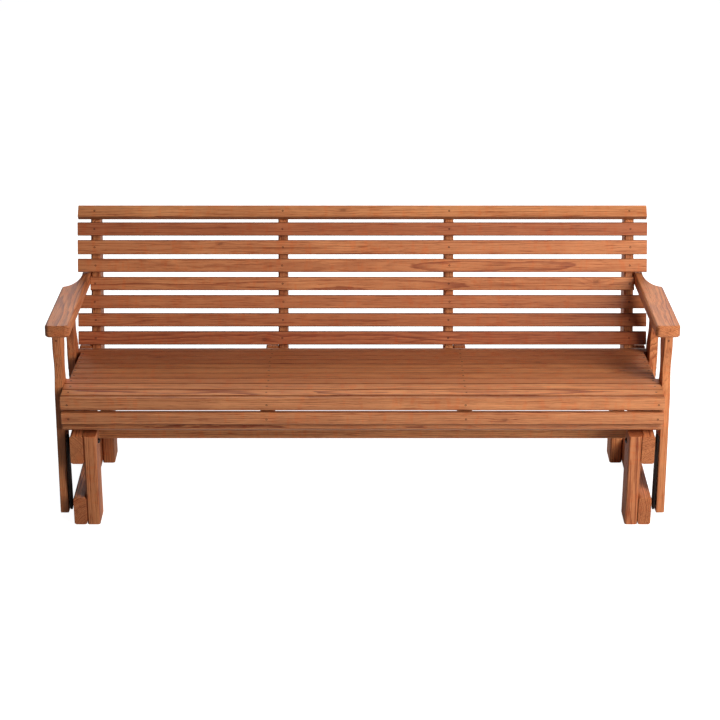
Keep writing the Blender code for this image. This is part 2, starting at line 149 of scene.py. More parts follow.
def addNode(tree, kind, settings=None, **inputs):
    # an input goes by its name, or by i and its number where several share one name
    node = tree.nodes.new(kind)
    for key, value in (settings or {}).items():
        setattr(node, key, value)
    for key, value in inputs.items():
        numbered = key[0] == "i" and key[1:].isdigit()
        socket = node.inputs[int(key[1:]) if numbered else key.replace("_", " ")]
        setInput(tree, socket, value)
    return node


def maths(tree, operation, a, b=0.0):
    return addNode(tree, "ShaderNodeMath", {"operation": operation}, i0=a, i1=b).outputs[0]


def addScaled(tree, total, value, factor):
    return maths(tree, "ADD", total, maths(tree, "MULTIPLY", value, factor))


def vectorMaths(tree, operation, a, b=(0, 0, 0)):
    node = addNode(tree, "ShaderNodeVectorMath", {"operation": operation}, i0=a, i1=b)
    return node.outputs["Value" if operation == "LENGTH" else "Vector"]


def blendColor(tree, kind, factor, a, b):
    settings = {"data_type": "RGBA", "blend_type": kind}
    return addNode(tree, "ShaderNodeMix", settings, i0=factor, i6=a, i7=b).outputs[2]


def tintColor(tree, factor, color, tint):
    tinted = blendColor(tree, "MULTIPLY", 1.0, color, tint)
    return blendColor(tree, "MIX", factor, color, tinted)


def fade(tree, value, low, high, start=0.0, end=1.0):
    settings = {"interpolation_type": "SMOOTHSTEP"}
    node = addNode(tree, "ShaderNodeMapRange", settings,
                   i0=value, i1=low, i2=high, i3=start, i4=end)
    return node.outputs[0]


def noise(tree, place, scale, detail=2.0, roughness=0.5):
    stretched = vectorMaths(tree, "MULTIPLY", place, scale)
    return addNode(tree, "ShaderNodeTexNoise", None,
                   Vector=stretched, Scale=1.0, Detail=detail, Roughness=roughness)


# Stained pine. Sizes are in metres, and a noise's scale is per metre along the grain, across
# the board and through it. A "tint" multiplies the colour where its noise or mask is full.
knotLook = {"stretch": (0.45, 1.0, 0.15), "ragged": 0.009, "core": (0.0055, 0.0130),
            "halo": (0.007, 0.034), "haloStrength": 0.22, "fineRings": 1500.0,
            "fineRingStrength": 0.6, "strength": 0.60}
ringLook = {"bend": 0.034, "drift": 2.4, "driftScale": 55.0, "knotPush": 1.1, "wobble": 0.9,
            "lateFrom": 0.20, "lateFull": 0.88, "faintest": 0.25}
stainLayers = {
    "streaks": {"scale": (1.5, 85.0, 85.0), "detail": 4.0, "roughness": 0.62,
                "from": 0.50, "full": 0.82, "most": 0.9, "tint": (0.48, 0.34, 0.28, 1)},
    "flecks": {"scale": (9.0, 260.0, 260.0), "detail": 3.0, "roughness": 0.6,
               "from": 0.46, "full": 0.70, "most": 0.7, "tint": (0.86, 0.70, 0.62, 1)},
    "dashes": {"scale": (13.0, 330.0, 330.0), "detail": 4.0, "roughness": 0.68,
               "from": 0.53, "full": 0.68, "most": 0.95, "tint": (0.52, 0.35, 0.28, 1)},
    "palePatches": {"scale": (5.0, 14.0, 14.0), "detail": 3.0, "roughness": 0.5,
                    "from": 0.46, "full": 0.74, "most": 1.0, "tint": (1.16, 1.22, 1.22, 1)},
    "ruddyCurl": {"scale": (55.0, 18.0, 18.0), "detail": 2.0, "roughness": 0.6,
                  "from": 0.50, "full": 0.72, "most": 0.8, "tint": (1.04, 0.84, 0.72, 1)},
}
# the dark tint on the eased edges in this table is painted shade, for the gaps between boards
wearLook = {"fibreGrey": (0.78, 0.44), "fibres": 0.9, "poreMask": (0.62, 0.74), "pores": 0.30,
            "scuffMask": (0.44, 0.60), "worn": 0.35,
            "pooled": 0.85, "pooledTint": (0.36, 0.25, 0.21, 1),
            "soaked": 0.8, "soakedTint": (0.62, 0.52, 0.46, 1)}
toneLook = {"red": 0.16, "greenAndBlue": 0.24}  # how far one step of tone lifts a colour
roughLook = {"plain": 0.40, "lateWood": -0.08, "fibres": 0.16, "endCut": 0.25, "worn": 0.3}
reliefLook = {"lateWood": 0.5, "fibres": 0.4, "pores": -0.5, "knot": 0.4}

# what is marked on a board's mesh: the group's input for it, its kind and where it is kept
grainMarks = {
    "grainPlace": ("Place", "FLOAT_VECTOR", "POINT"),
    "knotSpot": ("Knot Spot", "FLOAT_VECTOR", "POINT"),
    "boardTone": ("Tone", "FLOAT", "POINT"),
    "endCut": ("End Cut", "FLOAT", "FACE"),
    "easedEdge": ("Edge", "FLOAT", "FACE"),
}


# Place runs along the grain in x, across the board in y and through it in z, from the tree's
# heart. Knot Spot is a knot's middle in the same measure.
def makePineGroup():
    tree = bpy.data.node_groups.new("pineGrain", "ShaderNodeTree")
    for name, kind in (("Place", "Vector"), ("Knot Spot", "Vector"), ("End Cut", "Float"),
                       ("Edge", "Float"), ("Tone", "Float"), ("Ring Width", "Float"),
                       ("Early Wood", "Color"), ("Late Wood", "Color"), ("Knot", "Color"),
                       ("Worn Edge", "Color")):
        tree.interface.new_socket(name, in_out="INPUT", socket_type="NodeSocket" + kind)
    for name, kind in (("Color", "Color"), ("Roughness", "Float"), ("Height", "Float")):
        tree.interface.new_socket(name, in_out="OUTPUT", socket_type="NodeSocket" + kind)
    given = tree.nodes.new("NodeGroupInput").outputs
    place = given["Place"]

    # the knot, a little ragged
    fromKnot = vectorMaths(tree, "SUBTRACT", place, given["Knot Spot"])
    fromKnot = vectorMaths(tree, "MULTIPLY", fromKnot, knotLook["stretch"])
    ragged = noise(tree, place, (70.0, 90.0, 90.0)).outputs[0]
    away = addScaled(tree, vectorMaths(tree, "LENGTH", fromKnot), ragged, knotLook["ragged"])
    knotMask = fade(tree, away, *knotLook["core"], 1.0, 0.0)
    knotHalo = fade(tree, away, *knotLook["halo"], 1.0, 0.0)

    # growth rings round the heart, bent slowly along the board and pushed aside by the knot
    bendField = noise(tree, place, (1.1, 6.0, 6.0)).outputs["Color"]
    bend = vectorMaths(tree, "SUBTRACT", bendField, (0.5, 0.5, 0.5))
    bend = vectorMaths(tree, "MULTIPLY", bend, (0, ringLook["bend"], ringLook["bend"]))
    across = vectorMaths(tree, "MULTIPLY", vectorMaths(tree, "ADD", place, bend), (0, 1, 1))
    radius = vectorMaths(tree, "LENGTH", across)
    drift = addNode(tree, "ShaderNodeTexNoise", {"noise_dimensions": "1D"},
                    W=maths(tree, "MULTIPLY", radius, ringLook["driftScale"]), Scale=1.0)
    wobble = noise(tree, place, (16.0, 150.0, 150.0), 3.0).outputs[0]
    rings = maths(tree, "DIVIDE", radius, given["Ring Width"])
    rings = addScaled(tree, rings, drift.outputs[0], ringLook["drift"])
    rings = addScaled(tree, rings, knotHalo, ringLook["knotPush"])
    rings = addScaled(tree, rings, wobble, ringLook["wobble"])

    # each ring darkens slowly to its late wood and ends at once, and no two years are alike
    turn = maths(tree, "FRACT", rings)
    rise = fade(tree, turn, ringLook["lateFrom"], ringLook["lateFull"])
    fall = fade(tree, turn, ringLook["lateFull"], 1.0, 1.0, 0.0)
    year = addNode(tree, "ShaderNodeTexWhiteNoise", {"noise_dimensions": "1D"},
                   W=maths(tree, "FLOOR", rings))
    strength = fade(tree, year.outputs["Value"], 0.0, 1.0, ringLook["faintest"], 1.0)
    late = maths(tree, "MULTIPLY", maths(tree, "MULTIPLY", rise, fall), strength)
    color = blendColor(tree, "MIX", late, given["Early Wood"], given["Late Wood"])

    # streaks and patches where the stain took unevenly
    for layer in stainLayers.values():
        field = noise(tree, place, layer["scale"], layer["detail"], layer["roughness"]).outputs[0]
        mask = fade(tree, field, layer["from"], layer["full"], 0.0, layer["most"])
        color = tintColor(tree, mask, color, layer["tint"])

    # fine fibres, then the knot with its own fine rings, then pores
    fibres = noise(tree, place, (16.0, 1200.0, 1200.0), 2.0, 0.7).outputs[0]
    pores = noise(tree, place, (45.0, 1500.0, 1500.0), 1.0).outputs[0]
    pores = fade(tree, pores, *wearLook["poreMask"])
    base, gain = wearLook["fibreGrey"]
    grey = addScaled(tree, base, fibres, gain)
    greyColor = addNode(tree, "ShaderNodeCombineColor", None, i0=grey, i1=grey, i2=grey)
    color = blendColor(tree, "MULTIPLY", wearLook["fibres"], color, greyColor.outputs[0])
    haloStrength = maths(tree, "MULTIPLY", knotHalo, knotLook["haloStrength"])
    color = blendColor(tree, "MIX", haloStrength, color, given["Late Wood"])
    knotTurn = maths(tree, "SINE", maths(tree, "MULTIPLY", away, knotLook["fineRings"]))
    knotRings = fade(tree, knotTurn, -1.0, 1.0, 0.0, knotLook["fineRingStrength"])
    knotShade = blendColor(tree, "MIX", knotRings, given["Knot"], given["Late Wood"])
    knotStrength = maths(tree, "MULTIPLY", knotMask, knotLook["strength"])
    color = blendColor(tree, "MIX", knotStrength, color, knotShade)
    poreStrength = maths(tree, "MULTIPLY", pores, wearLook["pores"])
    color = blendColor(tree, "MIX", poreStrength, color, given["Knot"])

    # edges rubbed pale in places, painted shade darkening the eased long edges for the shade in
    # the gaps between boards and on edges turned from the light, and end grain that soaked up
    # stain
    scuffs = noise(tree, place, (22.0, 90.0, 90.0), 4.0, 0.65).outputs[0]
    scuffs = fade(tree, scuffs, *wearLook["scuffMask"])
    worn = maths(tree, "MULTIPLY", given["Edge"], scuffs)
    worn = maths(tree, "MULTIPLY", worn, wearLook["worn"])
    color = blendColor(tree, "MIX", worn, color, given["Worn Edge"])
    # painted shade: the eased edges are darkened for the shade between boards and on edges turned
    # from the light
    pooled = maths(tree, "MULTIPLY", given["Edge"], wearLook["pooled"])
    color = tintColor(tree, pooled, color, wearLook["pooledTint"])
    soaked = maths(tree, "MULTIPLY", given["End Cut"], wearLook["soaked"])
    color = tintColor(tree, soaked, color, wearLook["soakedTint"])

    # the board's tone, which on some boards is painted shade or painted light
    red = addScaled(tree, 1.0, given["Tone"], toneLook["red"])
    rest = addScaled(tree, 1.0, given["Tone"], toneLook["greenAndBlue"])
    toneColor = addNode(tree, "ShaderNodeCombineColor", None, i0=red, i1=rest, i2=rest)
    color = blendColor(tree, "MULTIPLY", 1.0, color, toneColor.outputs[0])

    rough = addScaled(tree, roughLook["plain"], late, roughLook["lateWood"])
    rough = addScaled(tree, rough, fibres, roughLook["fibres"])
    rough = addScaled(tree, rough, given["End Cut"], roughLook["endCut"])
    rough = addScaled(tree, rough, worn, roughLook["worn"])
    height = maths(tree, "MULTIPLY", late, reliefLook["lateWood"])
    height = addScaled(tree, height, fibres, reliefLook["fibres"])
    height = addScaled(tree, height, pores, reliefLook["pores"])
    height = addScaled(tree, height, knotMask, reliefLook["knot"])

    out = tree.nodes.new("NodeGroupOutput").inputs
    for name, value in (("Color", color), ("Roughness", rough), ("Height", height)):
        tree.links.new(value, out[name])
    return tree


plainPine = {"ringWidth": 0.0036, "early": linear(212, 138, 90), "late": linear(138, 64, 34),
             "knot": linear(98, 46, 26), "worn": linear(216, 158, 112), "shine": 0.5,
             "bump": 0.35, "bumpDepth": 0.0006}
pineLooks = {
    "slatPine": plainPine,
    "backPine": {**plainPine, "early": linear(213, 138, 90), "late": linear(162, 88, 54)},
    "framePine": {**plainPine, "ringWidth": 0.0042, "early": linear(210, 134, 86), "shine": 0.36},
}


def addBump(tree, shader, strength, depth, height):
    bump = addNode(tree, "ShaderNodeBump", None, Strength=strength, Distance=depth, Height=height)
    tree.links.new(bump.outputs["Normal"], shader.inputs["Normal"])


def newMaterial(name):
    material = bpy.data.materials.new(name)
    material.use_nodes = True
    return material, material.node_tree, material.node_tree.nodes["Principled BSDF"]


def makePine(name, look, group):
    material, tree, shader = newMaterial(name)
    grain = addNode(tree, "ShaderNodeGroup", {"node_tree": group},
                    Ring_Width=look["ringWidth"], Early_Wood=look["early"],
                    Late_Wood=look["late"], Knot=look["knot"], Worn_Edge=look["worn"])
    for mark, (wanted, kind, _) in grainMarks.items():
        found = addNode(tree, "ShaderNodeAttribute", {"attribute_name": mark}).outputs
        value = found["Vector" if kind == "FLOAT_VECTOR" else "Fac"]
        tree.links.new(value, grain.inputs[wanted])
    tree.links.new(grain.outputs["Color"], shader.inputs["Base Color"])
    tree.links.new(grain.outputs["Roughness"], shader.inputs["Roughness"])
    shader.inputs["Specular IOR Level"].default_value = look["shine"]
    addBump(tree, shader, look["bump"], look["bumpDepth"], grain.outputs["Height"])
    return material


pineGroup = makePineGroup()
pines = {name: makePine(name, look, pineGroup) for name, look in pineLooks.items()}

# the links and frame bolts, the pivot bolts, and the wood screws
steelLooks = {
    "blackSteel": {"color": linear(34, 27, 24), "worn": linear(56, 48, 43),
                   "roughness": 0.55, "metallic": 0.0, "shine": 0.15},
    "boltBlack": {"color": linear(66, 64, 62), "worn": linear(110, 106, 102),
                  "roughness": 0.22, "metallic": 1.0, "shine": 0.5},
    "darkScrew": {"color": linear(70, 40, 28), "worn": linear(120, 82, 60),
                  "roughness": 0.5, "metallic": 0.5, "shine": 0.5},
}
steelGrain = {"speckles": (900, 900, 900), "speckleMask": (0.45, 0.65),
              "smudges": (45, 45, 45), "smudgeMask": (0.5, 0.8), "roughSpread": (-0.12, 0.25),
              "bump": 0.2, "bumpDepth": 0.0002}


def makeSteel(name, look):
    material, tree, shader = newMaterial(name)
    place = addNode(tree, "ShaderNodeTexCoord").outputs["Object"]
    speckle = noise(tree, place, steelGrain["speckles"], 3.0).outputs[0]
    smudge = noise(tree, place, steelGrain["smudges"], 3.0).outputs[0]
    smudged = fade(tree, smudge, *steelGrain["smudgeMask"])
    speckled = fade(tree, speckle, *steelGrain["speckleMask"])
    worn = maths(tree, "MULTIPLY", smudged, speckled)
    color = blendColor(tree, "MIX", worn, look["color"], look["worn"])
    tree.links.new(color, shader.inputs["Base Color"])
    least, spread = steelGrain["roughSpread"]
    rough = addScaled(tree, look["roughness"] + least, smudge, spread)
    tree.links.new(rough, shader.inputs["Roughness"])
    shader.inputs["Metallic"].default_value = look["metallic"]
    shader.inputs["Specular IOR Level"].default_value = look["shine"]
    addBump(tree, shader, steelGrain["bump"], steelGrain["bumpDepth"], speckle)
    return material


steels = {name: makeSteel(name, look) for name, look in steelLooks.items()}
print("materials made")

# grain: degrees of the board's length in side view, None where it runs across the bench
# round and sawn: the width of the long edges' rounding and of the cut ends' bevel
# edge and cut: how dark the long edges and the cut ends are, the long edges' darkness being
# painted shade (the edge value also scales their pale wear); tone: how far a tone may stray
plainBoard = {"grain": None, "pine": "framePine", "round": 0.0018, "sawn": 0.0007,
              "edge": 0.25, "cut": 1.0, "tone": 0.5}
armBoard = {**plainBoard, "grain": -4.75, "sawn": 0.0024, "cut": 0.2, "tone": 0.3}
boardLooks = {
    "seat_slat": {**plainBoard, "pine": "slatPine", "round": 0.0008, "edge": 0.9, "tone": 0.7},
    "nose_slat": {**plainBoard, "pine": "slatPine", "round": 0.0006},
    "back_slat": {**plainBoard, "pine": "backPine", "round": 0.0008, "edge": 0.7, "tone": 0.8},
    "back_upright": {**plainBoard, "grain": 72.0, "tone": 0.6},
    "seat_support": {**plainBoard, "grain": 0.0, "tone": 0.6},
    "arm_post_front": {**plainBoard, "grain": 85.6, "round": 0.0009},
    "arm_post_rear": {**plainBoard, "grain": 99.84, "round": 0.0009},
    "arm_left": armBoard,
    "arm_right": armBoard,
    "base_leg": {**plainBoard, "grain": 90.0},
    "base_top_rail": {**plainBoard, "grain": 0.0, "cut": 0.4},
    "base_bottom_rail": {**plainBoard, "grain": 0.0, "cut": 0.4},
    "base_stretcher": {**plainBoard, "edge": 0.15},
}

# where each board was cut from its tree, and where a knot may fall, in metres
sawmillLook = {"seed": 11, "heartDistance": (0.050, 0.150), "along": 40, "knotChance": 0.15,
               "knotFromEnd": 0.06, "knotAcross": 0.012}
noKnot = Vector((-9, 0, 0))  # far from every board

# boards whose tone or knot shows in the photograph: tone, then the knot's place along and across
# painted shade and light in these tones: back slats 1, 2, 3, 5 and 7 and seat slats 8 to 10 are
# darkened for shade, and back slat 8, seat slats 1 and 2 and the front stretcher are lightened
# for light
knownBoards = {
    "back_slat_8": (0.8, (-0.060, 0.003)),
    "back_slat_7": (-1.5, None),
    "back_slat_6": (0.1, (-0.437, 0.010)),
    "back_slat_5": (-0.3, None),
    "back_slat_3": (-0.9, None),
    "back_slat_2": (-1.2, None),
    "back_slat_1": (-1.8, (-0.300, -0.004)),
    "seat_slat_10": (-0.7, None),
    "seat_slat_9": (-0.6, None),
    "seat_slat_8": (-0.5, (-0.62, 0.004)),
    "seat_slat_2": (0.7, None),
    "seat_slat_1": (0.9, None),
    "nose_slat_1": (0.7, None),
    "nose_slat_2": (0.5, (0.41, 0.002)),
    "nose_slat_3": (0.6, None),
    "arm_left": (-0.1, None),
    "arm_right": (0.1, (-0.10, 0.0)),
    "base_stretcher_front": (1.8, None),
}


def boardAxes(board, grain):
    # along the grain, across the board and through it
    if grain is None:
        along = Vector((1, 0, 0))
        sides = (face for face in board.data.polygons if abs(face.normal.x) < 0.5)
        through = max(sides, key=lambda face: face.area).normal.copy()
        if through.z < 0:
            through = -through
        return along, through.cross(along), through
    angle = math.radians(grain)
    along = Vector((0, math.cos(angle), math.sin(angle)))
    return along, along.cross(Vector((1, 0, 0))), Vector((1, 0, 0))


def pickLongEdges(piece, along):
    # both sides of the CAD board's chamfers, so that they turn into round edges
    shape = bmesh.from_edit_mesh(piece.data)
    for edge in shape.edges:
        pair = len(edge.link_faces) == 2
        turn = math.degrees(edge.calc_face_angle(0.0)) if pair else 0.0
        atEnd = any(abs(face.normal.dot(along)) > 0.9 for face in edge.link_faces)
        edge.select_set(38 < turn < 52 and edge.calc_length() > 0.006 and not atEnd)
    bmesh.update_edit_mesh(piece.data)


def markGrain(board, nodeName, axes, look, dice):
    along, across, through = axes
    low, high = (Vector(corner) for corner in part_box(nodeName))
    middle = (low + high) / 2
    turn = dice.uniform(0, 2 * math.pi)
    away = dice.uniform(*sawmillLook["heartDistance"])
    lengthwise = dice.uniform(0, sawmillLook["along"])
    shift = Vector((lengthwise, away * math.cos(turn), away * math.sin(turn)))
    looseTone = dice.uniform(-1, 1) * look["tone"]
    # on the boards listed in knownBoards this tone includes painted shade or painted light
    boardTone, knot = knownBoards.get(nodeName, (looseTone, None))
    reach = max(abs((high - low).dot(along)) / 2 - sawmillLook["knotFromEnd"], 0.0)
    looseKnot = (dice.uniform(-reach, reach),
                 dice.uniform(-sawmillLook["knotAcross"], sawmillLook["knotAcross"]))
    if nodeName not in knownBoards and dice.random() < sawmillLook["knotChance"]:
        knot = looseKnot
    knotSpot = Vector((*knot, 0)) + shift if knot else noKnot
    for mark, (_, kind, domain) in grainMarks.items():
        board.data.attributes.new(mark, kind, domain)
    marks = board.data.attributes
    for vertex in board.data.vertices:
        spot = vertex.co - middle
        spot = Vector((spot.dot(along), spot.dot(across), spot.dot(through)))
        marks["grainPlace"].data[vertex.index].vector = spot + shift
        marks["knotSpot"].data[vertex.index].vector = knotSpot
        marks["boardTone"].data[vertex.index].value = boardTone
    for face in board.data.polygons:
        endCut = abs(face.normal.dot(along)) ** 6
        marks["endCut"].data[face.index].value = look["cut"] * endCut
        flat = abs(face.normal.dot(through))
        onEdge = flat < 0.95 if look["grain"] is None else 0.25 < flat < 0.95
        marks["easedEdge"].data[face.index].value = look["edge"] * onEdge


def dressBoard(nodeName, look, dice):
    board = copyNode(nodeName)
    axes = boardAxes(board, look["grain"])
    mergeTriangles()
    bpy.ops.mesh.select_mode(type="EDGE")
    bpy.ops.mesh.select_all(action="DESELECT")
    pickLongEdges(board, axes[0])
    bpy.ops.mesh.bevel(offset=look["round"], segments=2, affect="EDGES", clamp_overlap=True)
    bpy.ops.object.mode_set(mode="OBJECT")
    roundEdges(board, look["sawn"], 1, 60)
    smoothBelow(32)
    evened = board.modifiers.new("even shading", "WEIGHTED_NORMAL")
    evened.keep_sharp = True
    bpy.ops.object.modifier_apply(modifier=evened.name)
    markGrain(board, nodeName, axes, look, dice)
    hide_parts(nodeName)
    dress(board, bodyOf[nodeName], pines[look["pine"]])


boardDice = random.Random(sawmillLook["seed"])
for nodeName in sorted(nodes):
    for start, look in boardLooks.items():
        if nodeName.startswith(start):
            dressBoard(nodeName, look, boardDice)
print("boards dressed")

linkLook = {"edge": 0.0009, "segments": 2}


def dressLink(nodeName):
    link = copyNode(nodeName)
    mergeTriangles()
    bpy.ops.object.mode_set(mode="OBJECT")
    roundEdges(link, linkLook["edge"], linkLook["segments"], 60)
    smoothBelow(35)
    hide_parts(nodeName)
    dress(link, bodyOf[nodeName], steels["blackSteel"])


for nodeName in nodes:
    if nodeName.startswith("link_"):
        dressLink(nodeName)
print("links dressed")

boltLook = {"headRadius": 0.0082, "headThick": 0.0046, "washerRadius": 0.0084,
            "washerThick": 0.0006, "washerEdge": 0.0002, "shankRadius": 0.0046,
            "spacerRadius": 0.0080, "spacerEdge": 0.0003, "nutRadius": 0.0082,
            "nutThick": 0.0060, "nutEdge": 0.0006, "shankPastNut": 0.0012, "fit": 0.0003}


def rod(startX, endX, radius, y, z, sides=24, edge=0.0):
    clearSelection()
    bpy.ops.mesh.primitive_cylinder_add(vertices=sides, radius=radius, depth=abs(endX - startX),
                                        location=((startX + endX) / 2, y, z),
                                        rotation=(0, math.pi / 2, 0))
    piece = bpy.context.active_object
    applyPlace(piece)
    if edge:
        roundEdges(piece, edge, 2, 70)
    smoothBelow(35)
    return piece


def keepHalf(point, outward):
    # cuts the active ball through the point and keeps the half on the outward side
    bpy.ops.object.mode_set(mode="EDIT")
    bpy.ops.mesh.select_all(action="SELECT")
    bpy.ops.mesh.bisect(plane_co=point, plane_no=outward, use_fill=True, clear_inner=True)
    bpy.ops.object.mode_set(mode="OBJECT")
    smoothBelow(40)


def dome(seatX, side, radius, thick, y, z):
    clearSelection()
    bpy.ops.mesh.primitive_uv_sphere_add(segments=32, ring_count=16, radius=radius,
                                         rotation=(0, math.pi / 2, 0), location=(seatX, y, z),
                                         scale=(1, 1, thick / radius))
    piece = bpy.context.active_object
    applyPlace(piece)
    keepHalf((seatX, y, z), (-side, 0, 0))
    return piece


def outerFace(nodeName, side):
    low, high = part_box(nodeName)
    return high[0] if side > 0 else low[0]


def innerFace(nodeName, side):
    return outerFace(nodeName, -side)


def middleOf(nodeName):
    low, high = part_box(nodeName)
    return [(least + most) / 2 for least, most in zip(low, high)]


def pivotBolt(nodeName, side, headSeat, spacer, nutSeat):
    # headSeat, the two ends of spacer and nutSeat are places along x
    look = boltLook
    _, y, z = middleOf(nodeName)
    end = outerFace(nodeName, side)
    washer = headSeat - side * look["washerThick"]
    nutEnd = end - side * look["shankPastNut"]
    bolt = joinPieces([
        dome(washer, side, look["headRadius"], look["headThick"], y, z),
        rod(headSeat, washer, look["washerRadius"], y, z, 32, look["washerEdge"]),
        rod(headSeat, end, look["shankRadius"], y, z),
        rod(*spacer, look["spacerRadius"], y, z, 32, look["spacerEdge"]),
        rod(nutSeat, nutEnd, look["nutRadius"], y, z, 6, look["nutEdge"]),
    ], camelName(nodeName))
    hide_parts(nodeName)
    dress(bolt, bodyOf[nodeName], steels["boltBlack"])


for place in benchCorners:
    side = 1 if place.endswith("right") else -1
    gap = side * boltLook["fit"]
    legInner = innerFace("base_leg_" + place, side) - gap
    railOuter = outerFace("base_top_rail_" + place.split("_")[1], side) + gap
    linkInner = innerFace("link_" + place, side) - gap
    linkOuter = outerFace("link_" + place, side) + gap
    postInner = innerFace("arm_post_" + place, side) - gap
    nutSeat = outerFace("lower_pivot_bolt_" + place, side) - side * boltLook["nutThick"]
    pivotBolt("upper_pivot_bolt_" + place, side, legInner, (railOuter, linkInner), linkOuter)
    pivotBolt("lower_pivot_bolt_" + place, side, linkInner, (linkOuter, postInner), nutSeat)
print("pivot bolts made")

screwLook = {"radius": 0.0029, "proud": 0.0002, "thick": 0.0014, "rim": 0.14, "dish": 0.6,
             "recess": 0.0013, "drive": 0.0015}


def makeScrewHead():
    # lies in the x-y plane, its top a little above z = 0, with a small round drive recess
    look = screwLook
    radius = look["radius"]
    clearSelection()
    bpy.ops.mesh.primitive_cylinder_add(vertices=16, radius=radius, depth=look["thick"],
                                        location=(0, 0, look["proud"] - look["thick"] / 2))
    head = bpy.context.active_object
    applyPlace(head)
    bpy.ops.object.mode_set(mode="EDIT")
    shape = bmesh.from_edit_mesh(head.data)
    for face in shape.faces:
        face.select_set(face.normal.z > 0.9)
    bmesh.update_edit_mesh(head.data)
    bpy.ops.mesh.inset(thickness=radius * look["rim"])
    bpy.ops.transform.translate(value=(0, 0, look["proud"] * look["dish"]))
    bpy.ops.mesh.inset(thickness=radius * (1 - look["rim"]) - look["drive"])
    sink = {"value": (0, 0, -look["recess"])}
    bpy.ops.mesh.extrude_region_move(TRANSFORM_OT_translate=sink)
    bpy.ops.object.mode_set(mode="OBJECT")
    smoothBelow(30)
    return head


roundBoltLook = {"radius": 0.0095, "thick": 0.0038}


def makeRoundBoltHead():
    look = roundBoltLook
    clearSelection()
    bpy.ops.mesh.primitive_uv_sphere_add(segments=24, ring_count=12, radius=look["radius"],
                                         location=(0, 0, 0))
    head = bpy.context.active_object
    head.scale = (1, 1, look["thick"] / look["radius"])
    applyPlace(head)
    keepHalf((0, 0, 0), (0, 0, 1))
    return head


def placeHeads(template, places, name):
    # places: point, outward normal, and turn about it
    copies = []
    for point, normal, turn in places:
        piece = template.copy()
        piece.data = template.data.copy()
        bpy.context.scene.collection.objects.link(piece)
        facing = Vector(normal).to_track_quat("Z", "Y").to_matrix().to_4x4()
        turned = facing @ Matrix.Rotation(turn, 4, "Z")
        piece.matrix_world = Matrix.Translation(Vector(point)) @ turned
        copies.append(piece)
    return joinPieces(copies, name)


def slatFace(nodeName, inside):
    # middle and normal of the slat's broad face that looks away from a point inside the bench
    board = bpy.data.objects[camelName(nodeName)]
    low, high = (Vector(corner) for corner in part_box(nodeName))
    middle = (low + high) / 2
    broad = sorted(board.data.polygons, key=lambda face: -face.area)[:2]
    face = max(broad, key=lambda face: face.normal.dot(middle - inside))
    reach = (face.center - middle).dot(face.normal)
    return middle + face.normal * reach, face.normal.copy()


screwHead = makeScrewHead()
boltHead = makeRoundBoltHead()
screwDice = random.Random(5)
supports = sorted(nodeName for nodeName in nodes if nodeName.startswith("seat_support"))
uprights = sorted(nodeName for nodeName in nodes if nodeName.startswith("back_upright"))

# carriers: what the slats are screwed to; inside: a point that the slats curl round
slatScrewLooks = {
    "seatScrewHeads": {"slats": ("seat_slat", "nose_slat"), "carriers": supports,
                       "inside": (0, 0.05, 0.30)},
    "backScrewHeads": {"slats": ("back_slat",), "carriers": uprights, "inside": (0, 1.2, 0.2)},
}
screwStray = 0.002  # how far a slat's screw may sit off its carrier's middle


def slatScrewHeads(name, look):
    places = []
    for nodeName in sorted(nodes):
        if nodeName.startswith(look["slats"]):
            point, normal = slatFace(nodeName, Vector(look["inside"]))
            for carrier in look["carriers"]:
                x = middleOf(carrier)[0] + screwDice.uniform(-screwStray, screwStray)
                places.append((Vector((x, point.y, point.z)), normal, screwDice.uniform(0, 3)))
    return placeHeads(screwHead, places, name)


for name, look in slatScrewLooks.items():
    dress(slatScrewHeads(name, look), "seat", steels["darkScrew"])

# shift: how far behind the line through its pivot a post's bolts sit; uprightPlaces are
# measured from the upright's front and its foot
frameBoltLook = {"postHeights": (0.316, 0.341), "shift": {"front": 0.019, "rear": -0.010},
                 "uprightPlaces": ((0.030, 0.020), (0.068, 0.036))}


def frameBoltHeads():
    places = []
    for place in benchCorners:
        side = 1 if place.endswith("right") else -1
        end = place.split("_")[0]
        foot = Vector(middleOf("lower_pivot_bolt_" + place))
        lean = math.tan(math.radians(boardLooks["arm_post_" + end]["grain"]))
        face = outerFace("arm_post_" + place, side)
        for height in frameBoltLook["postHeights"]:
            y = foot.y + frameBoltLook["shift"][end] + (height - foot.z) / lean
            places.append(((face, y, height), (side, 0, 0), 0))
    for upright in uprights:
        low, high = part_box(upright)
        side = -1 if low[0] < 0 else 1
        for behind, above in frameBoltLook["uprightPlaces"]:
            point = (innerFace(upright, side), low[1] + behind, low[2] + above)
            places.append((point, (-side, 0, 0), 0))
    for sideName, side in benchSides:
        _, y, z = middleOf("arm_bolt_" + sideName)
        seat = outerFace("arm_bolt_" + sideName, side) - side * roundBoltLook["thick"]
        places.append(((seat, y, z), (side, 0, 0), 0))
    return placeHeads(boltHead, places, "frameBoltHeads")


dress(frameBoltHeads(), "seat", steels["blackSteel"])

# legScrews: place from the leg's middle line, and height; the rest are in the top rail
baseScrewLook = {"legScrews": ((-0.022, 0.024), (0.024, 0.066)), "topShift": 0.026,
                 "topHeights": (0.225, 0.265)}


def baseScrewHeads():
    look = baseScrewLook
    places = []
    for sideName, side in benchSides:
        face = outerFace("base_top_rail_" + sideName, side)
        for end in ("front", "rear"):
            legY = middleOf(f"base_leg_{end}_{sideName}")[1]
            stretcherY = middleOf("base_stretcher_" + end)[1]
            spots = [(legY + shift, height) for shift, height in look["legScrews"]]
            spots += [(legY + look["topShift"], height) for height in look["topHeights"]]
            spots += [(stretcherY, height) for height in look["topHeights"]]
            for y, z in spots:
                places.append(((face, y, z), (side, 0, 0), screwDice.uniform(0, 3)))
    return placeHeads(screwHead, places, "baseScrewHeads")


dress(baseScrewHeads(), "base", steels["darkScrew"])

postScrewLook = {"height": 0.561}


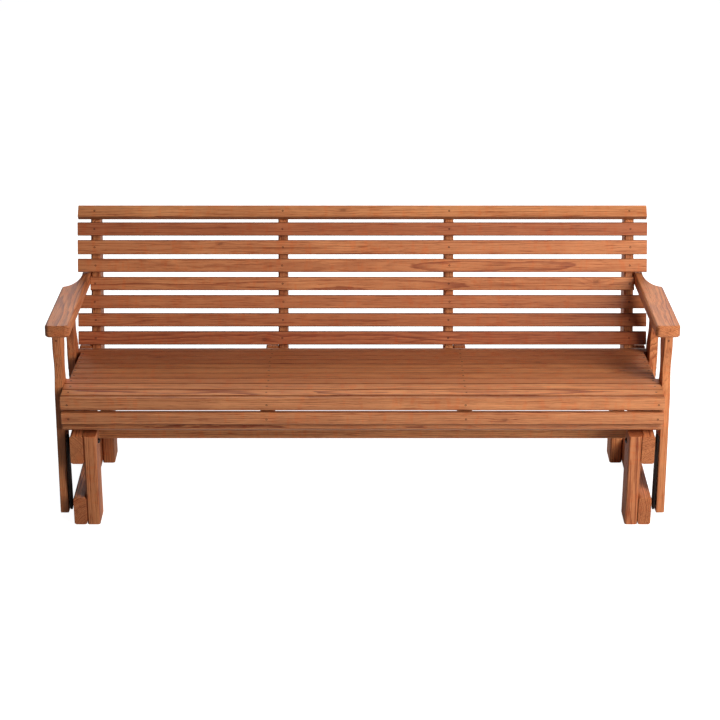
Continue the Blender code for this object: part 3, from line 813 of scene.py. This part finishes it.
def postScrewHeads():
    # one in the front edge of each front post, just under the arm
    places = []
    for sideName, _ in benchSides:
        post = bpy.data.objects[camelName("arm_post_front_" + sideName)]
        start = Vector((middleOf("arm_post_front_" + sideName)[0], -1, postScrewLook["height"]))
        _, spot, normal, _ = post.ray_cast(start, (0, 1, 0))
        places.append((spot, normal, screwDice.uniform(0, 3)))
    return placeHeads(screwHead, places, "postScrewHeads")


dress(postScrewHeads(), "seat", steels["darkScrew"])
bpy.data.objects.remove(screwHead)
bpy.data.objects.remove(boltHead)
for sideName, _ in benchSides:
    armBolt = nodes["arm_bolt_" + sideName].data
    armBolt.materials.clear()
    armBolt.materials.append(steels["blackSteel"])
print("screws and bolts placed")

# lift: how white the camera sees the floor; gloss: how white the floor shows in the sheen
floorLook = {"size": 14.0, "drop": 0.0005, "color": (0.5, 0.5, 0.5, 1), "roughness": 0.9,
             "lift": 0.97, "gloss": 0.10}


def makeFloor():
    look = floorLook
    clearSelection()
    bpy.ops.mesh.primitive_plane_add(size=look["size"], location=(0, 0, -look["drop"]))
    floor = bpy.context.active_object
    floor.name = "floor"
    material, tree, shader = newMaterial("paleFloor")
    shader.inputs["Base Color"].default_value = look["color"]
    shader.inputs["Roughness"].default_value = look["roughness"]
    shader.inputs["Specular IOR Level"].default_value = 0.0
    shader.inputs["Emission Color"].default_value = (1, 1, 1, 1)
    rays = tree.nodes.new("ShaderNodeLightPath").outputs
    seen = maths(tree, "MULTIPLY", rays["Is Camera Ray"], look["lift"])
    glow = addScaled(tree, seen, rays["Is Glossy Ray"], look["gloss"])
    tree.links.new(glow, shader.inputs["Emission Strength"])
    floor.data.materials.append(material)


# how bright the room lights the bench, shows in its sheen, and looks to the camera
roomLook = {"light": 0.03, "gloss": 0.20, "seen": 1.0}


def makeRoom():
    room = bpy.data.worlds.new("paleRoom")
    bpy.context.scene.world = room
    room.use_nodes = True
    tree = room.node_tree
    tree.nodes.clear()
    rays = tree.nodes.new("ShaderNodeLightPath").outputs
    glow = {}
    for part, strength in roomLook.items():
        glow[part] = addNode(tree, "ShaderNodeBackground", None,
                             Color=(1, 1, 1, 1), Strength=strength).outputs[0]
    lit = addNode(tree, "ShaderNodeMixShader", None,
                  i0=rays["Is Glossy Ray"], i1=glow["light"], i2=glow["gloss"])
    shown = addNode(tree, "ShaderNodeMixShader", None,
                    i0=rays["Is Camera Ray"], i1=lit.outputs[0], i2=glow["seen"])
    out = tree.nodes.new("ShaderNodeOutputWorld")
    tree.links.new(shown.outputs[0], out.inputs["Surface"])


# diffuse and glossy: whether a lamp lights the surfaces and whether it shows in their sheen
lampLooks = {
    "keyLamp": {"place": (2.6, -2.7, 1.95), "aim": (0.3, 0, 0.45), "size": (1.9, 1.9),
                "power": 119, "diffuse": True, "glossy": False},
    "highLamp": {"place": (2.0, -2.0, 3.4), "aim": (0.3, 0, 0.45), "size": (1.4, 1.4),
                 "power": 52, "diffuse": True, "glossy": False},
    "rearLamp": {"place": (0, 3.0, 2.75), "aim": (0, 0, 0.45), "size": (3.0, 1.4),
                 "power": 84, "diffuse": True, "glossy": False},
    "sheenLamp": {"place": (0, 6.0, 3.8), "aim": (0, 0, 0.45), "size": (7.0, 3.0),
                  "power": 185, "diffuse": False, "glossy": True},
    "glintLamp": {"place": (1.4, -3.6, 2.4), "aim": (0, 0, 0.3), "size": (0.25, 0.25),
                  "power": 16, "diffuse": False, "glossy": True},
}


def makeLamp(name, look):
    data = bpy.data.lights.new(name, "AREA")
    data.shape = "RECTANGLE"
    data.size, data.size_y = look["size"]
    data.energy = look["power"]
    lamp = bpy.data.objects.new(name, data)
    bpy.context.scene.collection.objects.link(lamp)
    lamp.location = look["place"]
    lamp.visible_diffuse = look["diffuse"]
    lamp.visible_glossy = look["glossy"]
    toward = Vector(look["aim"]) - Vector(look["place"])
    lamp.rotation_euler = toward.to_track_quat("-Z", "Y").to_euler()


cameraLook = {"place": (-0.0072, -5.8263, 2.9769), "tilt": 23.9, "lens": 105.15, "sensor": 36.0}


def makeCamera():
    data = bpy.data.cameras.new("camera")
    data.sensor_width = cameraLook["sensor"]
    data.lens = cameraLook["lens"]
    camera = bpy.data.objects.new("camera", data)
    bpy.context.scene.collection.objects.link(camera)
    camera.location = cameraLook["place"]
    camera.rotation_euler = (math.radians(90 - cameraLook["tilt"]), 0, 0)
    bpy.context.scene.camera = camera


makeFloor()
makeRoom()
for name, look in lampLooks.items():
    makeLamp(name, look)
makeCamera()
bpy.context.scene.view_settings.view_transform = "Standard"
print("stage set")
